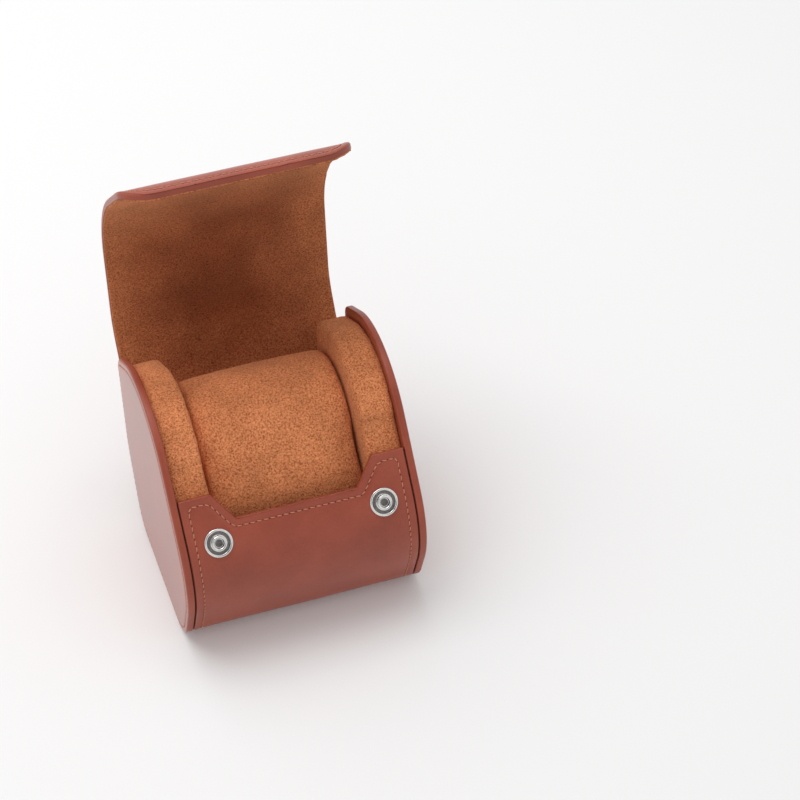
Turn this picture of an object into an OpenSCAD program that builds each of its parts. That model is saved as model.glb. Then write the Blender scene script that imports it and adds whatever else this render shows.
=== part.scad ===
// Travel case for one wristwatch: a barrel of leather over board between two
// flat end panels, a padded bolster inside each end, a lift-out cushion and a
// leather flap that folds over the top and snaps on the front.
// X runs across the case, -Y is the front, Z is up and the case rests on Z = 0.

/* [Case] */
// Width over the two end panels
case_w = 88; // [76:1:110]
// Depth of the side profile, from the front to the flap's corner at the back
case_d = 89; // [84:1:100]
// Height of the end panels
case_h = 83.5; // [80:0.5:95]
// Height of the foremost point of the side profile
front_z = 31; // [28:0.5:34]
// Radius of the profile round the front
front_r = 30; // [26:0.5:33]
// Radius of the profile over the top
top_r = 36.5; // [33:0.5:40]
// How far the top of the curve lies behind the middle
top_back = 8.5; // [6:0.5:11]
// Height of the rearmost corner's centre
corner_z = 68.5; // [64:0.5:70]
// Radius of the corner at the back of the top
corner_r = 6; // [5:0.5:9]
// How far the end panels' corner lies ahead of the flap's
panel_corner_in = 2.2; // [0.2:0.2:3]
// How far the end panels' corner lies below the flap's
panel_corner_drop = 3.8; // [0.2:0.2:5]
// Radius under the front
toe_r = 15; // [11:0.5:18]
// Front end of the flat underside, ahead of the middle
flat_front = 25; // [20:0.5:27]
// Radius behind the flat underside
heel_r = 14; // [11:0.5:17]
// Back end of the flat underside, behind the middle
flat_back = 14; // [11:0.5:16]
// Radius of the lower back
back_r = 40; // [37:0.5:41]
// How far the centre of the lower back lies ahead of the middle
back_ahead = 2; // [0:0.5:4]

/* [Layers] */
// Thickness of the outer leather
leather_t = 1.1; // [0.8:0.1:1.4]
// Thickness of the board in the wrap
wrap_board_t = 1.5; // [1.2:0.1:2]
// Thickness of the suede lining
suede_t = 0.8; // [0.6:0.1:1]
// Thickness of the leather on the end panels
end_leather_t = 0.9; // [0.7:0.1:1.2]
// Thickness of the board in the end panels
end_board_t = 1.7; // [1.4:0.1:2.2]
// Rounding of the end panels' outer edge
end_edge = 0.8; // [0.4:0.1:1]
// Groove between the wrap and each end panel
groove = 0.6; // [0.3:0.1:1]
// Width of the leather turned over the edges of a board
turn_w = 0.9; // [0.6:0.1:1.3]

/* [Front edge] */
// Distance of the tab tops below the end of the top curve
tab_drop = 11; // [8:0.5:13]
// Depth of the cut-out below the tab tops
notch_h = 10; // [8:0.5:12]
// Width of each tab at its top
tab_top_w = 11.5; // [10:0.1:15]
// Width of each tab at the bottom of the cut-out
tab_low_w = 18.8; // [17:0.1:22]

/* [Snaps] */
// Distance of each snap from the side of the wrap
snap_in = 10.8; // [9:0.1:13]
// Distance of the snaps below the tab tops
snap_drop = 17; // [15:0.5:18]
// Diameter of the stud's flange
stud_d = 10.2; // [9:0.1:11]
// Diameter of the stud's boss
boss_d = 5; // [4.6:0.1:5.2]
// Height of the boss above the leather
boss_h = 1.8; // [1.6:0.1:2]
// Height of the flange above the leather
flange_h = 0.7; // [0.5:0.1:0.9]
// Depth to which a stud is pressed into the leather
stud_seat = 0.3; // [0.2:0.1:0.5]
// Outer diameter of the rivet's tube
rivet_d = 3.8; // [3.4:0.1:4.2]
// Wall of the rivet's tube
rivet_wall = 0.5; // [0.3:0.1:0.7]
// Diameter of the rivet's head
rivet_head_d = 8.4; // [7:0.1:9]
// Thickness of the rivet's head
rivet_head_t = 0.5; // [0.4:0.1:0.7]
// Outer diameter of the socket
socket_d = 9.6; // [8.8:0.1:10.4]
// Diameter of the socket's mouth
mouth_d = 7.4; // [7.2:0.1:7.8]
// Height of the socket over the lining
socket_lift = 1.2; // [0.8:0.1:1.3]
// Thickness of the cap behind the socket
cap_t = 0.3; // [0.2:0.1:0.4]
// Depth to which the cap sinks into the leather
cap_sink = 0.1; // [0.1:0.1:0.3]
// Play round the snaps' pieces in their holes
snap_play = 0.1; // [0.05:0.05:0.2]

/* [Flap] */
// Thickness of the board in the flap
flap_board_t = 1.1; // [0.9:0.1:1.3]
// Height of the closed flap over the end panels' rims
flap_proud = 0.5; // [0.3:0.1:1]
// How far the closed flap's curves lie ahead of the case's own
flap_out = 5.4; // [5.2:0.1:6.5]
// How far the closed flap's curves lie over the case's own
flap_rise = 1.1; // [1:0.1:1.6]
// Gap between the flap and each end panel
flap_side_gap = 0.4; // [0.3:0.1:0.8]
// Distance of the hinge below the corner at the back of the top
hinge_drop = 40; // [36:0.5:42]
// Distance of the front crease past the start of the top curve
crease_past = 28; // [22:0.5:32]
// Distance of the lip's edge past the snaps
lip_past = 12.5; // [10:0.5:15]
// Radius of the lip's corners
lip_r = 12; // [8:0.5:16]
// Slit between two leaves of the flap
leaf_gap = 0.3; // [0.2:0.05:0.5]
// Opening at the hinge as the case stands
hinge_angle = 23; // [0:1:26]
// Opening at the back crease as the case stands
back_angle = 56; // [0:1:60]
// Opening at the front crease as the case stands
front_angle = 17; // [0:1:20]

/* [Bolsters] */
// Thickness of each padded bolster
bolster_t = 12.4; // [9:0.1:14]
// Rounding of the bolster's inner edge
bolster_edge = 3.2; // [2:0.1:4]
// Swell of the bolster's inner face
bolster_crown = 0.5; // [0.3:0.1:0.8]

/* [Cushion] */
// Radius of the cushion's lower part
cushion_low_r = 29.6; // [26:0.1:30]
// Clearance under the cushion, over the lining
cushion_under = 0.4; // [0.3:0.1:1]
// How far the lower part lies behind the middle
cushion_low_back = 0.8; // [0:0.1:1]
// Radius of the cushion's upper part
cushion_top_r = 26; // [22:0.1:27]
// Height of the centre of the upper part
cushion_top_z = 48; // [46:0.1:50]
// How far the upper part lies behind the middle
cushion_top_back = 8.6; // [6:0.1:9]
// Clearance between the cushion's ends and the bolsters
cushion_gap = 0.4; // [0.3:0.1:1]
// Rounding of the cushion's ends
cushion_edge = 7; // [4:0.5:9]
// Crown of the cushion between its ends
cushion_crown = 1.4; // [0.8:0.1:2]
// Thickness of the cushion's suede
cushion_cover_t = 1; // [0.8:0.1:1.4]

/* [Hidden] */

leather_colour = [0.56, 0.27, 0.2];
suede_colour = [0.72, 0.42, 0.24];
board_colour = [0.72, 0.64, 0.52];
nickel_colour = [0.78, 0.78, 0.8];
foam_colour = [0.9, 0.86, 0.74];

// A profile is a list of circles [y, z, radius], counterclockwise seen from
// +X, and its outline is the belt round them. Each arc is cut every few degrees.
case_step = 5;
cushion_step = 7.5;

end_t = end_leather_t + end_board_t;
inner_w = case_w - 2 * end_t;
wrap_w = inner_w - 2 * groove;
wrap_t = leather_t + wrap_board_t + suede_t;
flap_t = leather_t + flap_board_t + suede_t;
flap_w = inner_w - 2 * flap_side_gap;
notch_top_w = wrap_w - 2 * tab_top_w;
notch_low_w = wrap_w - 2 * tab_low_w;
snap_span = wrap_w - 2 * snap_in;

// Lengths of material that the cuts take off or go through.
edge_spare = 6;
cut_h = 3 * wrap_t;

top_circle = [top_back, case_h - top_r, top_r];
front_circle = [front_r - case_d / 2, front_z, front_r];
corner_circle = [case_d / 2 - corner_r, corner_z, corner_r];
back_circle = [-back_ahead, back_r, back_r];
case_circles = [
  top_circle, front_circle, [-flat_front, toe_r, toe_r],
  [flat_back, heel_r, heel_r], back_circle, corner_circle
];
panel_circles = [
  for (i = [0:4]) case_circles[i],
  corner_circle - [panel_corner_in, panel_corner_drop, 0]
];
flap_circles = [
  back_circle + [0, 0, flap_proud],
  corner_circle + [0, 0, flap_proud],
  top_circle + [-flap_out, flap_rise, flap_proud],
  front_circle + [-flap_out, flap_rise, flap_proud]
];
cushion_circles = [
  [cushion_low_back, wrap_t + cushion_under + cushion_low_r, cushion_low_r],
  [cushion_top_back, cushion_top_z, cushion_top_r]
];

function turn_past(a, b) = b < a ? turn_past(a, b + 360) : b;
function wrap_index(i, n) = (i + n) % n;
function belt_angle(a, b) = let (
    dy = b[0] - a[0],
    dz = b[1] - a[1],
    span = norm([dy, dz])
  ) atan2(dz, dy) - acos((a[2] - b[2]) / span);

// Points [y, z, angle of the normal, number of the circle] of a belt.
function belt(c, step = case_step) = [
  for (i = [0:len(c) - 1])
    let (
      a0 = belt_angle(c[wrap_index(i - 1, len(c))], c[i]),
      a1 = turn_past(a0, belt_angle(c[i], c[wrap_index(i + 1, len(c))])),
      n = ceil((a1 - a0) / step)
    )
    for (k = [0:n])
      let (a = a0 + (a1 - a0) * k / n)
      [c[i][0] + c[i][2] * cos(a), c[i][1] + c[i][2] * sin(a), a, i]
];

// The same points with the distance run along the belt as a fifth value.
function measured(p) = [
  for (k = 0, s = 0; k < len(p);
       s = s + (k + 1 < len(p) ? norm([p[k + 1][0] - p[k][0], p[k + 1][1] - p[k][1]]) : 0),
       k = k + 1)
    concat(p[k], [s])
];
function arc_start(path, i) = min([for (p = path) if (p[3] == i) p[4]]);
function arc_end(path, i) = max([for (p = path) if (p[3] == i) p[4]]);

// Normal angles rise along a belt, so those past a full turn count on.
function rising(path) = [
  for (k = 0, a = path[0][2]; k < len(path);
       k = k + 1,
       a = k < len(path) ? turn_past(a - 0.001, path[k][2]) : a)
    [path[k][0], path[k][1], a, path[k][3], path[k][4]]
];

case_path = rising(measured(belt(case_circles)));
flap_path = rising(measured(belt(flap_circles)));

// The place on a path at distance s, as [y, z, angle of the normal].
function place(path, s) = let (
    k = max([for (i = [0:len(path) - 2]) if (path[i][4] <= s) i]),
    a = path[k],
    b = path[k + 1],
    f = (s - a[4]) / (b[4] - a[4])
  ) [a[0] + (b[0] - a[0]) * f, a[1] + (b[1] - a[1]) * f, a[2] + (b[2] - a[2]) * f];
function inward(p, t) = [p[0] - t * cos(p[2]), p[1] - t * sin(p[2])];

// A layer along a path from s0 to s1, between depths t0 and t1.
function layer_points(path, s0, s1, t0, t1) = let (
    run = concat([place(path, s0)],
                 [for (p = path) if (p[4] > s0 + 0.01 && p[4] < s1 - 0.01) p],
                 [place(path, s1)])
  ) concat([for (p = run) inward(p, t0)],
           [for (i = [len(run) - 1:-1:0]) inward(run[i], t1)]);

// Distances along the case's profile, which starts where the top curve does.
top_end = arc_end(case_path, 0);
tab_s = top_end + tab_drop;
notch_s = tab_s + notch_h;
snap_s = tab_s + snap_drop;
hinge_s = arc_start(case_path, 5) - hinge_drop;
snap_place = place(case_path, snap_s);
front_place = place(case_path, tab_s);

// Distances along the closed flap's profile, which starts at the lower back.
flap_front_angle = place(flap_path, arc_end(flap_path, 2) + 1)[2];
flap_gap = flap_rise * sin(flap_front_angle) - flap_out * cos(flap_front_angle)
  + flap_proud - flap_t;
leaf_s0 = arc_start(flap_path, 1) - hinge_drop;
leaf_s1 = (arc_start(flap_path, 1) + arc_end(flap_path, 1)) / 2;
leaf_s2 = arc_start(flap_path, 2) + crease_past;
lip_s = arc_end(flap_path, 2) + tab_drop + snap_drop + lip_past
  - flap_out * sin(flap_front_angle) - flap_rise * cos(flap_front_angle);
hinge_axis = place(flap_path, leaf_s0);
back_axis = place(flap_path, leaf_s1);
front_axis = place(flap_path, leaf_s2);

function swung(p, axis, a) = let (
    y = p[0] - axis[0],
    z = p[1] - axis[1]
  ) [axis[0] + y * cos(a) + z * sin(a), axis[1] - y * sin(a) + z * cos(a)];
back_axis_rest = swung(back_axis, hinge_axis, hinge_angle);
front_axis_rest = swung(swung(front_axis, back_axis, back_angle), hinge_axis, hinge_angle);
echo(hinge = [hinge_axis[0], hinge_axis[1]], back_crease = back_axis_rest,
     front_crease = front_axis_rest, flap_gap = flap_gap, snap = snap_place,
     lip_closed = place(flap_path, lip_s), past_corner = lip_s - arc_start(flap_path, 1));

// ---- shared shapes ----

// Stands a profile drawn in [y, z] upright and gives it a width along X.
module across(w) {
  rotate([90, 0, 90])
    linear_extrude(height = w, center = true)
      children();
}

module layer(path, s0, s1, t0, t1, w) {
  across(w)
    polygon(layer_points(path, s0, s1, t0, t1));
}

// Puts children on a surface: Y up the front, Z out along the normal.
module on_surface(p) {
  translate([0, p[0], p[1]])
    rotate([p[2] - 90, 0, 0])
      children();
}

module swing(axis, a) {
  translate([0, axis[0], axis[1]])
    rotate([-a, 0, 0])
      translate([0, -axis[0], -axis[1]])
        children();
}

// Closed rings of points joined into one solid, with flat ends.
module skin(rings) {
  n = len(rings[0]);
  m = len(rings);
  polyhedron(
    points = [for (r = rings) for (p = r) p],
    faces = concat(
      [[for (i = [0:n - 1]) i]],
      [for (j = [0:m - 2], i = [0:n - 1])
        [j * n + i, (j + 1) * n + (i + 1) % n, j * n + (i + 1) % n]],
      [for (j = [0:m - 2], i = [0:n - 1])
        [j * n + i, (j + 1) * n + i, (j + 1) * n + (i + 1) % n]],
      [[for (i = [n - 1:-1:0]) (m - 1) * n + i]]
    )
  );
}

// One ring of a skin: the belt round circles, drawn in by t, standing at x.
least_r = 0.3;
function ring_points(c, t, x, step = case_step) = [
  for (p = belt(c, step))
    let (r = max(c[p[3]][2] - t, least_r))
    [x, c[p[3]][0] + r * cos(p[2]), c[p[3]][1] + r * sin(p[2])]
];

module profile_plate(t, x0, x1) {
  translate([(x0 + x1) / 2, 0, 0])
    across(x1 - x0)
      polygon([for (p = ring_points(panel_circles, t, 0)) [p[1], p[2]]]);
}

// ---- body of the case ----

// What is cut from the front edge: all above the tabs and the notch between
// them. Depth d keeps the cut that far down the panel, for the board.
module front_edge_cut(d) {
  on_surface(front_place)
    translate([0, 0, -wrap_t])
      linear_extrude(height = 4 * wrap_t, center = true)
        union() {
          translate([-case_w / 2, -d])
            square([case_w, 2 * edge_spare + d]);
          polygon([
            [-notch_top_w / 2 - d, 0.01 - d],
            [notch_top_w / 2 + d, 0.01 - d],
            [notch_low_w / 2 + d * 0.6, -notch_h - d],
            [-notch_low_w / 2 - d * 0.6, -notch_h - d]
          ]);
        }
}

module wrap_layer(t0, t1, w, d) {
  difference() {
    layer(case_path, tab_s - edge_spare, hinge_s - leaf_gap / 2, t0, t1, w);
    front_edge_cut(d);
  }
}

module at_snaps() {
  for (side = [-1, 1])
    translate([side * snap_span / 2, 0, 0])
      on_surface(snap_place)
        children();
}

module outer_wrap() {
  color(leather_colour)
    difference() {
      union() {
        wrap_layer(0, leather_t, wrap_w, 0);
        // the leather turned over the board's front edge
        intersection() {
          wrap_layer(leather_t, leather_t + wrap_board_t, wrap_w, 0);
          front_edge_cut(turn_w);
        }
      }
      at_snaps() {
        translate([0, 0, -stud_seat])
          cylinder(h = 2, d = stud_d + 2 * snap_play, $fn = 48);
        cylinder(h = cut_h, d = rivet_d + 2 * snap_play, center = true, $fn = 32);
      }
    }
}

module wrap_board() {
  color(board_colour)
    difference() {
      wrap_layer(leather_t, leather_t + wrap_board_t, inner_w, turn_w);
      at_snaps() {
        cylinder(h = cut_h, d = rivet_d + 2 * snap_play, center = true, $fn = 32);
        translate([0, 0, -leather_t - wrap_board_t - 1])
          cylinder(h = 1 + rivet_head_t, d = rivet_head_d + 2 * snap_play, $fn = 40);
      }
    }
}

module wrap_lining() {
  color(suede_colour)
    difference() {
      wrap_layer(leather_t + wrap_board_t, wrap_t, inner_w, 0);
      // the lining gives way behind each rivet's head
      at_snaps()
        translate([0, 0, -leather_t - wrap_board_t - snap_play])
          cylinder(h = rivet_head_t, d = rivet_head_d + 2 * snap_play, $fn = 40);
    }
}

// Leather pulled over the end board, with a rounded outer edge.
module end_cover() {
  half = case_w / 2;
  color(leather_colour)
    difference() {
      skin([
        ring_points(panel_circles, 0, half - end_t),
        ring_points(panel_circles, 0, half - end_edge),
        ring_points(panel_circles, end_edge * 0.29, half - end_edge * 0.29),
        ring_points(panel_circles, end_edge, half)
      ]);
      profile_plate(end_leather_t, half - end_t - 1, half - end_leather_t);
    }
}

module end_board() {
  color(board_colour)
    profile_plate(end_leather_t, case_w / 2 - end_t, case_w / 2 - end_leather_t);
}

// Padding under suede: flat against the end panel, soft on its inner edge.
bolster_turns = [0, 22.5, 45, 67.5, 90];
module bolster() {
  foot = inner_w / 2;
  color(suede_colour)
    skin(concat(
      [ring_points(panel_circles, wrap_t + bolster_edge + 6, foot - bolster_t - bolster_crown),
       ring_points(panel_circles, wrap_t + bolster_edge + 2, foot - bolster_t - bolster_crown * 0.7)],
      [for (a = [for (i = [4:-1:0]) bolster_turns[i]])
        ring_points(panel_circles, wrap_t + bolster_edge * (1 - cos(a)),
                    foot - bolster_t + bolster_edge * (1 - sin(a)))],
      [ring_points(panel_circles, wrap_t, foot)]
    ));
}

// ---- snaps ----

// Nickel stud: a flange with a bevelled rim and a hollow boss.
module stud() {
  ro = stud_d / 2;
  rb = boss_d / 2;
  bore = rivet_d / 2 + snap_play;
  color(nickel_colour)
    rotate_extrude($fn = 56)
      polygon([
        [bore, -stud_seat], [ro, -stud_seat], [ro, flange_h * 0.5],
        [ro - 0.35, flange_h * 0.9], [ro - 0.8, flange_h], [ro - 1.2, flange_h * 0.9],
        [ro - 1.6, flange_h * 0.5], [rb + 0.3, flange_h * 0.5], [rb - 0.15, flange_h * 0.8],
        [rb - 0.15, boss_h * 0.6], [rb, boss_h * 0.75], [rb - 0.1, boss_h * 0.92],
        [rb - 0.3, boss_h], [bore + 0.1, boss_h], [bore, boss_h - 0.2]
      ]);
}

// The rivet that holds a stud: a blind tube with its head behind the board.
module stud_rivet() {
  depth = leather_t + wrap_board_t;
  color(nickel_colour)
    difference() {
      union() {
        translate([0, 0, -depth])
          cylinder(h = rivet_head_t, d = rivet_head_d, $fn = 40);
        translate([0, 0, -depth])
          cylinder(h = depth + flange_h, d = rivet_d, $fn = 32);
      }
      translate([0, 0, rivet_head_t - depth])
        cylinder(h = depth + flange_h, d = rivet_d - 2 * rivet_wall, $fn = 32);
    }
}

// The socket in the lip: Z = 0 is the lining's face and +Z runs into the lip.
socket_depth = suede_t + flap_board_t + cap_sink - cap_t;
cap_post_d = 2.4;
module socket() {
  color(nickel_colour)
    rotate_extrude($fn = 56)
      polygon([
        [cap_post_d / 2 + snap_play, socket_depth - 0.5], [mouth_d / 2, socket_depth - 0.5],
        [mouth_d / 2, 0.1 - socket_lift], [mouth_d / 2 + 0.2, -socket_lift],
        [socket_d / 2 - 0.4, -socket_lift], [socket_d / 2, 0.2 - socket_lift],
        [socket_d / 2, socket_depth], [cap_post_d / 2 + snap_play, socket_depth]
      ]);
}

module socket_cap() {
  color(nickel_colour)
    union() {
      translate([0, 0, socket_depth])
        cylinder(h = cap_t, d = socket_d, $fn = 40);
      translate([0, 0, socket_depth - 0.5])
        cylinder(h = 0.5 + cap_t / 2, d = cap_post_d, $fn = 24);
    }
}

// The face of the closed lip's lining, straight out from each stud.
module at_sockets() {
  at_snaps()
    translate([0, 0, flap_gap])
      children();
}

// ---- flap, drawn closed and then swung open ----

module swung_back() {
  swing(hinge_axis, hinge_angle)
    children();
}

module swung_top() {
  swung_back()
    swing(back_axis, back_angle)
      children();
}

module swung_lip() {
  swung_top()
    swing(front_axis, front_angle)
      children();
}

// Leather of one leaf, turned over the board along both sides.
module leaf_leather(s0, s1) {
  union() {
    layer(flap_path, s0, s1, 0, leather_t, flap_w);
    for (side = [-1, 1])
      translate([side * (flap_w - turn_w) / 2, 0, 0])
        layer(flap_path, s0, s1, 0, leather_t + flap_board_t, turn_w);
  }
}

module leaf_board(s0, s1) {
  layer(flap_path, s0, s1, leather_t, leather_t + flap_board_t, flap_w - 2 * turn_w);
}

module leaf_lining(s0, s1) {
  layer(flap_path, s0, s1, leather_t + flap_board_t, flap_t, flap_w);
}

// Outline of the lip with round corners, drawn in by d.
module lip_shape(d) {
  w = flap_w - 2 * d;
  r = lip_r - d;
  on_surface(place(flap_path, lip_s - lip_r / 2))
    translate([0, -lip_r / 2, 0])
      linear_extrude(height = 12 * flap_t, center = true)
        union() {
          translate([-w / 2, d + r])
            square([w, lip_s - leaf_s2]);
          translate([r - w / 2, d])
            square([w - 2 * r, 2 * r]);
          for (side = [-1, 1])
            translate([side * (w / 2 - r), d + r])
              circle(r = r, $fn = 64);
        }
}

leaf0 = leaf_s0 + leaf_gap / 2;
leaf1a = leaf_s1 - leaf_gap / 2;
leaf1b = leaf_s1 + leaf_gap / 2;
leaf2a = leaf_s2 - leaf_gap / 2;
leaf2b = leaf_s2 + leaf_gap / 2;
lip_end = lip_s + flap_t;

module flap_back_leather() {
  color(leather_colour)
    swung_back()
      leaf_leather(leaf0, leaf1a);
}

module flap_back_board() {
  color(board_colour)
    swung_back()
      leaf_board(leaf0, leaf1a);
}

module flap_back_lining() {
  color(suede_colour)
    swung_back()
      leaf_lining(leaf0, leaf1a);
}

module flap_top_leather() {
  color(leather_colour)
    swung_top()
      leaf_leather(leaf1b, leaf2a);
}

module flap_top_board() {
  color(board_colour)
    swung_top()
      leaf_board(leaf1b, leaf2a);
}

module flap_top_lining() {
  color(suede_colour)
    swung_top()
      leaf_lining(leaf1b, leaf2a);
}

module flap_lip_leather() {
  color(leather_colour)
    swung_lip()
      difference() {
        union() {
          intersection() {
            layer(flap_path, leaf2b, lip_end, 0, leather_t, flap_w);
            lip_shape(0);
          }
          difference() {
            intersection() {
              layer(flap_path, leaf2b, lip_end, leather_t, leather_t + flap_board_t, flap_w);
              lip_shape(0);
            }
            lip_shape(turn_w);
          }
        }
        at_sockets()
          cylinder(h = socket_depth + cap_t, d = socket_d + 2 * snap_play, $fn = 48);
      }
}

module flap_lip_board() {
  color(board_colour)
    swung_lip()
      difference() {
        intersection() {
          layer(flap_path, leaf2b, lip_end, leather_t, leather_t + flap_board_t, flap_w);
          lip_shape(turn_w);
        }
        at_sockets()
          cylinder(h = cut_h, d = socket_d + 2 * snap_play, center = true, $fn = 48);
      }
}

module flap_lip_lining() {
  color(suede_colour)
    swung_lip()
      difference() {
        intersection() {
          layer(flap_path, leaf2b, lip_end, leather_t + flap_board_t, flap_t, flap_w);
          lip_shape(0);
        }
        at_sockets()
          cylinder(h = cut_h, d = socket_d + 2 * snap_play, center = true, $fn = 48);
      }
}

// ---- cushion ----

// Rings along a stuffed pillow: crowned in the middle, drawn in at both ends.
cushion_half = inner_w / 2 - bolster_t - bolster_crown - cushion_gap;
function pillow_inset(x, half, edge) = let (
    over = max(0, abs(x) - half + edge) / edge
  ) cushion_crown * pow(x / half, 2) + edge * (1 - sqrt(max(0, 1 - over * over)));
function pillow_rings(t, count) = [
  for (k = [0:count])
    let (
      half = cushion_half - t,
      edge = cushion_edge - t,
      x = half * sin(90 * (2 * k / count - 1))
    )
    ring_points(cushion_circles, t + pillow_inset(x, half, edge), x, cushion_step)
];

module cushion_cover() {
  color(suede_colour)
    difference() {
      skin(pillow_rings(0, 14));
      skin(pillow_rings(cushion_cover_t, 8));
    }
}

module cushion_core() {
  color(foam_colour)
    skin(pillow_rings(cushion_cover_t, 8));
}

module left_of() {
  mirror([1, 0, 0])
    children();
}

module one_snap(side) {
  translate([side * snap_span / 2, 0, 0])
    on_surface(snap_place)
      children();
}

module one_socket(side) {
  swung_lip()
    one_snap(side)
      translate([0, 0, flap_gap])
        children();
}

outer_wrap();
wrap_board();
wrap_lining();
left_of() end_cover();  // left_end_cover
left_of() end_board();  // left_end_board
end_cover();  // right_end_cover
end_board();  // right_end_board
left_of() bolster();  // left_bolster
bolster();  // right_bolster
one_snap(-1) stud();  // left_stud
one_snap(1) stud();  // right_stud
one_snap(-1) stud_rivet();  // left_stud_rivet
one_snap(1) stud_rivet();  // right_stud_rivet
flap_back_leather();
flap_back_board();
flap_back_lining();
flap_top_leather();
flap_top_board();
flap_top_lining();
flap_lip_leather();
flap_lip_board();
flap_lip_lining();
one_socket(-1) socket();  // left_socket
one_socket(1) socket();  // right_socket
one_socket(-1) socket_cap();  // left_socket_cap
one_socket(1) socket_cap();  // right_socket_cap
cushion_cover();
cushion_core();
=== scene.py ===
import math

import bpy
from mathutils import Matrix, Vector, noise


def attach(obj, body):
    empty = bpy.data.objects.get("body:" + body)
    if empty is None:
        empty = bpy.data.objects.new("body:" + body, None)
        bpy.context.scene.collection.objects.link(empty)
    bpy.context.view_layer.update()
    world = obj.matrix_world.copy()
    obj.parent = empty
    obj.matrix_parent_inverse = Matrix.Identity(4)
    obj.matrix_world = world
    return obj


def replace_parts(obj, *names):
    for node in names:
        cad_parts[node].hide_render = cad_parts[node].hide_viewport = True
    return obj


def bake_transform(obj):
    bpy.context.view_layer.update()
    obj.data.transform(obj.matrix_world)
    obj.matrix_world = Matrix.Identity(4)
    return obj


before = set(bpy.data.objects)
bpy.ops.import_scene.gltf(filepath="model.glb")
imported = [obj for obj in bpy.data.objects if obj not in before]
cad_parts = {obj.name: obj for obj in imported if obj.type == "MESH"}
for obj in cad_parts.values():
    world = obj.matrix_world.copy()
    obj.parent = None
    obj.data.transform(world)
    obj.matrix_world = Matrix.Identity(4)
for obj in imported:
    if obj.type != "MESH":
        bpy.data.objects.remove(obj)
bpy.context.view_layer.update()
print("frame loaded:", len(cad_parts), "nodes")

mm = 0.001
sides = ((-1, "left"), (1, "right"))


# ---- side profile ----

caseSide = {
    # circles of the side profile as y, z, radius in mm, counterclockwise seen from the right
    "top": (8.5, 47.0, 36.5),
    "front": (-14.5, 31.0, 30.0),
    "toe": (-25.0, 15.0, 15.0),
    "heel": (14.0, 14.0, 14.0),
    "back": (-2.0, 40.0, 40.0),
    "corner": (38.5, 68.5, 6.0),
    "panelCorner": (36.3, 64.7, 6.0),       # the end panels' own corner at the back
    "halfWidth": 44.0,
    "tabDrop": 11.0,        # tab tops below the end of the top curve
    "hingeDrop": 40.0,      # hinge below the corner at the back
}

flapSide = {
    "proud": 0.5,           # closed flap over the rims
    "ahead": 5.4,
    "rise": 1.1,
    "creasePast": 28.0,     # front crease past the start of the top curve
    "lipReach": 40.5,       # lip's edge past the end of the top curve
    "hingeOpen": 23.0,      # degrees, as the case stands
    "backOpen": 56.0,
    "frontOpen": 17.0,
    "hingeBend": 10.0,      # half length of the bend at each crease, in mm
    "backBend": 7.0,
    "frontBend": 16.0,
    "lipCurl": 16.0,        # degrees more over the last of the lip
    "curlLength": 16.0,
}


def beltRun(circles):
    # points (distance, y, z, normal angle, circle) of the belt round the circles
    def joinAngle(a, b):
        dy, dz = b[0] - a[0], b[1] - a[1]
        return math.atan2(dz, dy) - math.acos((a[2] - b[2]) / math.hypot(dy, dz))

    run, distance, turned = [], 0.0, None
    for i, c in enumerate(circles):
        start = joinAngle(circles[i - 1], c)
        end = joinAngle(c, circles[(i + 1) % len(circles)])
        while turned is not None and start < turned - 0.001:
            start += 2 * math.pi
        while end < start:
            end += 2 * math.pi
        steps = max(1, math.ceil((end - start) / math.radians(2)))
        for k in range(steps + 1):
            a = start + (end - start) * k / steps
            y, z = c[0] + c[2] * math.cos(a), c[1] + c[2] * math.sin(a)
            if run:
                distance += math.hypot(y - run[-1][1], z - run[-1][2])
            run.append((distance, y, z, a, i))
        turned = end
    return run


def placeOn(run, s):
    for p, q in zip(run, run[1:]):
        if q[0] >= s and q[0] > p[0]:
            f = (s - p[0]) / (q[0] - p[0])
            return tuple(p[k] + (q[k] - p[k]) * f for k in (1, 2, 3))
    return run[-1][1:4]


def swungBy(p, axis, degrees):
    a = math.radians(degrees)
    y, z = p[0] - axis[0], p[1] - axis[1]
    return (
        axis[0] + y * math.cos(a) + z * math.sin(a),
        axis[1] - y * math.sin(a) + z * math.cos(a),
        p[2] - a,
    )


caseCircles = [caseSide[k] for k in ("top", "front", "toe", "heel", "back", "corner")]
panelCircles = caseCircles[:5] + [caseSide["panelCorner"]]
caseRun = beltRun(caseCircles)
topEnd = max(p[0] for p in caseRun if p[4] == 0)
backCorner = min(p[0] for p in caseRun if p[4] == 5)
tabStart = topEnd + caseSide["tabDrop"]
# from here on distances along the leather run from the tab tops
hingeAt = backCorner - caseSide["hingeDrop"] - tabStart


def grown(c, ahead=0.0, rise=0.0):
    return (c[0] - ahead, c[1] + rise, c[2] + flapSide["proud"])


flapRun = beltRun([
    grown(caseSide["back"]),
    grown(caseSide["corner"]),
    grown(caseSide["top"], flapSide["ahead"], flapSide["rise"]),
    grown(caseSide["front"], flapSide["ahead"], flapSide["rise"]),
])
flapCorner = [p[0] for p in flapRun if p[4] == 1]
flapTop = [p[0] for p in flapRun if p[4] == 2]
leafBack = flapCorner[0] - caseSide["hingeDrop"]
leafTop = (flapCorner[0] + flapCorner[-1]) / 2
leafLip = flapTop[0] + flapSide["creasePast"]
frontAngle = placeOn(flapRun, flapTop[-1] + 1)[2]
lipEnd = (flapTop[-1] + flapSide["lipReach"]
          - flapSide["ahead"] * math.sin(frontAngle) - flapSide["rise"] * math.cos(frontAngle))
hingeAxis, backAxis, frontAxis = (placeOn(flapRun, s) for s in (leafBack, leafTop, leafLip))


def openFlap(s):
    p = placeOn(flapRun, s)
    if s > leafLip:
        p = swungBy(p, frontAxis, flapSide["frontOpen"])
    if s > leafTop:
        p = swungBy(p, backAxis, flapSide["backOpen"])
    return swungBy(p, hingeAxis, flapSide["hingeOpen"])


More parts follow.
